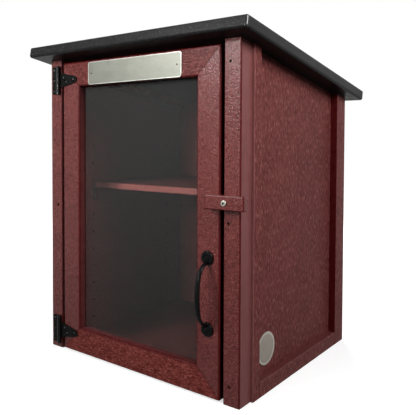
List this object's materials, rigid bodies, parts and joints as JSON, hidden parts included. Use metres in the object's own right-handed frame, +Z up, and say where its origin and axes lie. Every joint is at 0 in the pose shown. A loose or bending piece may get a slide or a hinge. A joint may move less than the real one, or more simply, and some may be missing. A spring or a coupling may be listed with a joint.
{
  "type": "street book exchange box",
  "caption": "Small weatherproof cabinet with a sloping roof, a glazed door on T-hinges, a pull handle, a turn button and a shelf for swapping books.",
  "frame": {"origin": "centre of the flat underside, between the two posts and the back panel", "axes": "+Z up through the roof, -Y out of the door side (front), +X to the right seen from the front"},
  "size_m": [0.489, 0.4337, 0.5697],
  "materials": {
    "red_board": "dull red recycled plastic board, lightly textured, smooth on cut edges",
    "roof_board": "charcoal recycled plastic board with a fine grain",
    "black_steel": "black powder coat, satin",
    "black_casting": "black enamel on a casting, glossy",
    "bright_steel": "plain zinc-plated steel",
    "brushed_plate": "brushed sheet with a fine even grain, bare",
    "clear_pane": "clear glossy acrylic"
  },
  "bodies": {
    "case": {"roof_panel": "roof_board", "left_corner_post": "red_board", "right_corner_post": "red_board", "left_side_panel": "red_board", "right_side_panel": "red_board", "left_front_trim": "red_board", "right_front_trim": "red_board", "left_rear_trim": "red_board", "right_rear_trim": "red_board", "left_base_trim": "red_board", "right_base_trim": "red_board", "back_panel": "red_board", "floor_panel": "red_board", "shelf_panel": "red_board", "head_rail": "red_board", "left_roof_cleat": "red_board", "right_roof_cleat": "red_board", "left_front_shelf_pin": "bright_steel", "left_rear_shelf_pin": "bright_steel", "right_front_shelf_pin": "bright_steel", "right_rear_shelf_pin": "bright_steel", "upper_hinge_leaf": "black_steel", "lower_hinge_leaf": "black_steel", "upper_leaf_screw_top": "black_steel", "upper_leaf_screw_middle": "black_steel", "upper_leaf_screw_bottom": "black_steel", "lower_leaf_screw_top": "black_steel", "lower_leaf_screw_middle": "black_steel", "lower_leaf_screw_bottom": "black_steel", "upper_hinge_pin": "black_steel", "lower_hinge_pin": "black_steel", "right_post_screw_upper": "bright_steel", "right_post_screw_middle": "bright_steel", "right_post_screw_lower": "bright_steel", "left_post_screw_middle": "bright_steel", "round_plate": "brushed_plate", "button_screw": "bright_steel", "button_washer": "black_steel"},
    "door": {"door_left_stile": "red_board", "door_bottom_rail": "red_board", "door_right_stile": "red_board", "door_top_rail": "red_board", "door_pane": "clear_pane", "left_pane_bead": "red_board", "right_pane_bead": "red_board", "top_pane_bead": "red_board", "bottom_pane_bead": "red_board", "pull_handle": "black_casting", "upper_pull_screw": "black_steel", "lower_pull_screw": "black_steel", "sign_plate": "brushed_plate", "upper_hinge_strap": "black_steel", "lower_hinge_strap": "black_steel", "upper_strap_screw_top": "black_steel", "upper_strap_screw_bottom": "black_steel", "upper_strap_screw_tip": "black_steel", "lower_strap_screw_top": "black_steel", "lower_strap_screw_bottom": "black_steel", "lower_strap_screw_tip": "black_steel"},
    "turn_button": {"turn_button": "red_board"}
  },
  "joints": [
    {"name": "door_hinge", "type": "hinge", "parent": "case", "child": "door", "pos_m": [-0.192, -0.1873, 0.2715], "axis": [0, 0, -1], "range_deg": [0, 180]},
    {"name": "button_pivot", "type": "hinge", "parent": "case", "child": "turn_button", "pos_m": [0.1964, -0.1847, 0.3047], "axis": [0, 1, 0], "continuous": true}
  ]
}
